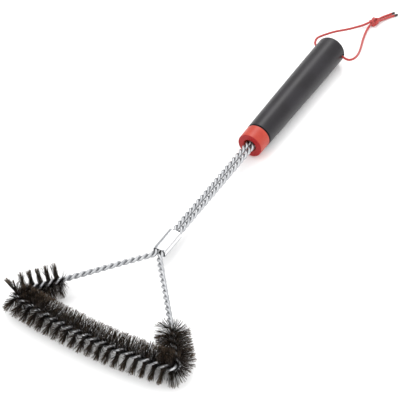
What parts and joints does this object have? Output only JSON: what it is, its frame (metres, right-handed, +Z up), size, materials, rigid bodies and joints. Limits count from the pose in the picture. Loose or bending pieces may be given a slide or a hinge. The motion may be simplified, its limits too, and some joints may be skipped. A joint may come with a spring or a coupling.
{
  "type": "grill cleaning brush",
  "caption": "Long-handled wire brush for grill grates: bristles on a twisted wire bent into a triangular head, crimp sleeve, wire shaft, tapered grip and a knotted hanging cord.",
  "frame": {"origin": "on the floor under the middle of the brush without its cord, as the brush lies flat", "axes": "+Y from the head along the shaft to the handle's end, +X to the right across the head, +Z up"},
  "size_m": [0.1876, 0.5639, 0.031],
  "materials": {
    "handle_black": "satin moulded black",
    "collar_red": "semi-gloss moulded red",
    "wire_steel": "bright zinc-plated wire",
    "band_steel": "bright pressed steel",
    "bristle_steel": "dark flat wire",
    "plug_nylon": "plain moulded grey",
    "cord_red": "braided red cord with dark sealed ends"
  },
  "bodies": {
    "root": {"handle_shell": "handle_black", "handle_collar": "collar_red", "crimp_sleeve": "band_steel", "end_ferrule": "band_steel", "anchor_plug": "plug_nylon", "shaft_wire_left_a": "wire_steel", "shaft_wire_left_b": "wire_steel", "leg_wire_left_a": "wire_steel", "leg_wire_left_b": "wire_steel", "base_wire_a": "wire_steel", "base_wire_b": "wire_steel", "leg_wire_right_a": "wire_steel", "leg_wire_right_b": "wire_steel", "shaft_wire_right_a": "wire_steel", "shaft_wire_right_b": "wire_steel", "bristle_row_01": "bristle_steel", "bristle_row_02": "bristle_steel", "bristle_row_03": "bristle_steel", "bristle_row_04": "bristle_steel", "bristle_row_05": "bristle_steel", "bristle_row_06": "bristle_steel", "bristle_row_07": "bristle_steel", "bristle_row_08": "bristle_steel", "bristle_row_09": "bristle_steel", "bristle_row_10": "bristle_steel", "bristle_row_11": "bristle_steel", "bristle_row_12": "bristle_steel", "bristle_row_13": "bristle_steel", "bristle_row_14": "bristle_steel", "bristle_row_15": "bristle_steel", "bristle_row_16": "bristle_steel", "bristle_row_17": "bristle_steel", "bristle_row_18": "bristle_steel", "bristle_row_19": "bristle_steel", "bristle_row_20": "bristle_steel", "bristle_row_21": "bristle_steel", "bristle_row_22": "bristle_steel", "bristle_row_23": "bristle_steel", "bristle_row_24": "bristle_steel", "bristle_row_25": "bristle_steel", "bristle_row_26": "bristle_steel", "bristle_row_27": "bristle_steel", "bristle_row_28": "bristle_steel", "bristle_row_29": "bristle_steel", "bristle_row_30": "bristle_steel", "cord_strand_left": "cord_red", "cord_strand_right": "cord_red", "cord_knot": "cord_red", "cord_tail_long": "cord_red", "cord_tail_short": "cord_red"}
  },
  "joints": []
}
